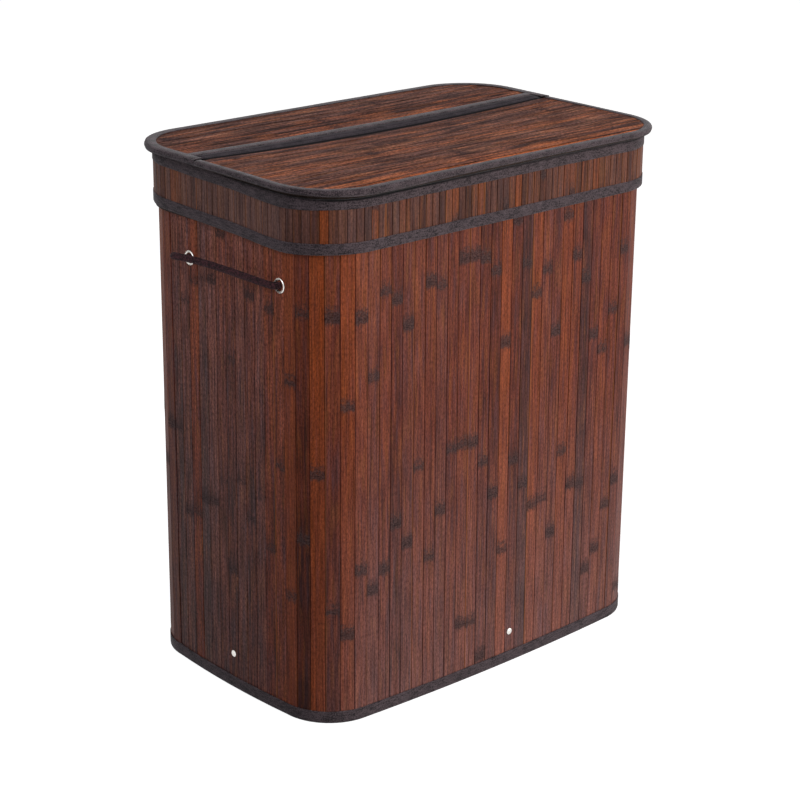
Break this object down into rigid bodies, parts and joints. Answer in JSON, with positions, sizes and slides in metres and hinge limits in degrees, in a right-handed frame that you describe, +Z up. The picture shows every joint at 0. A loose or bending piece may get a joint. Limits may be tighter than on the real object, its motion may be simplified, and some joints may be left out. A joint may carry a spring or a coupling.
{
  "type": "laundry hamper with lid",
  "caption": "Tall rounded-corner laundry hamper of upright bamboo slats, cloth-bound, with a skirted lift-off lid that has a folding flap, and rope handles.",
  "frame": {"origin": "middle of the footprint, on the floor", "axes": "+X along the long front wall to its right end, +Y to the rear where the fixed lid panel is, +Z up"},
  "size_m": [0.5552, 0.345, 0.6],
  "materials": {
    "wall_bamboo": "dark brown stained and lacquered bamboo, satin",
    "skirt_bamboo": "dark brown stained bamboo, satin, narrower slats",
    "lid_bamboo": "dark brown stained bamboo, satin, laid lengthwise",
    "edge_tape": "charcoal non-woven cloth tape, matt",
    "lining_cloth": "dark non-woven backing cloth, matt",
    "hardboard": "bare hardboard",
    "rope": "dark brown braided cord",
    "nickel": "nickel plated, bright",
    "zinc_steel": "zinc plated sheet steel"
  },
  "bodies": {
    "hamper": {"front_slats": "wall_bamboo", "rear_slats": "wall_bamboo", "left_slats": "wall_bamboo", "right_slats": "wall_bamboo", "corner_slats": "wall_bamboo", "front_wall_cloth": "lining_cloth", "rear_wall_cloth": "lining_cloth", "left_wall_cloth": "lining_cloth", "right_wall_cloth": "lining_cloth", "corner_wall_cloth": "lining_cloth", "rim_binding": "edge_tape", "foot_binding": "edge_tape", "seam_tape": "edge_tape", "base_board": "hardboard", "base_cloth": "lining_cloth", "base_brackets": "zinc_steel", "base_rivets": "nickel", "handle_eyelets": "nickel", "eyelet_washers": "nickel", "left_handle_knots": "rope", "right_handle_knots": "rope"},
    "left_handle": {"left_handle_rope": "rope"},
    "right_handle": {"right_handle_rope": "rope"},
    "lid": {"skirt_front_slats": "skirt_bamboo", "skirt_rear_slats": "skirt_bamboo", "skirt_left_slats": "skirt_bamboo", "skirt_right_slats": "skirt_bamboo", "skirt_corner_slats": "skirt_bamboo", "skirt_front_cloth": "lining_cloth", "skirt_rear_cloth": "lining_cloth", "skirt_left_cloth": "lining_cloth", "skirt_right_cloth": "lining_cloth", "skirt_corner_cloth": "lining_cloth", "skirt_top_binding": "edge_tape", "skirt_bottom_binding": "edge_tape", "rear_panel_lining": "lining_cloth", "rear_panel_board": "hardboard", "rear_panel_slats": "lid_bamboo", "rear_panel_binding": "edge_tape", "hinge_cloth": "edge_tape"},
    "lid_flap": {"flap_lining": "lining_cloth", "flap_board": "hardboard", "flap_slats": "lid_bamboo", "flap_binding": "edge_tape"}
  },
  "joints": [
    {"name": "lid_lift", "type": "slide", "parent": "hamper", "child": "lid", "axis": [0, 0, 1], "range_m": [0, 0.08]},
    {"name": "flap_fold", "type": "hinge", "parent": "lid", "child": "lid_flap", "pos_m": [0, 0.0415, 0.6005], "axis": [-1, 0, 0], "range_deg": [0, 178]},
    {"name": "left_handle_swing", "type": "hinge", "parent": "hamper", "child": "left_handle", "pos_m": [-0.2578, -0.0911, 0.4888], "axis": [0, 0.9998, -0.0216], "range_deg": [-65, 65]},
    {"name": "right_handle_swing", "type": "hinge", "parent": "hamper", "child": "right_handle", "pos_m": [0.2578, -0.0911, 0.4888], "axis": [0, 0.9998, -0.0216], "range_deg": [-65, 65]}
  ]
}
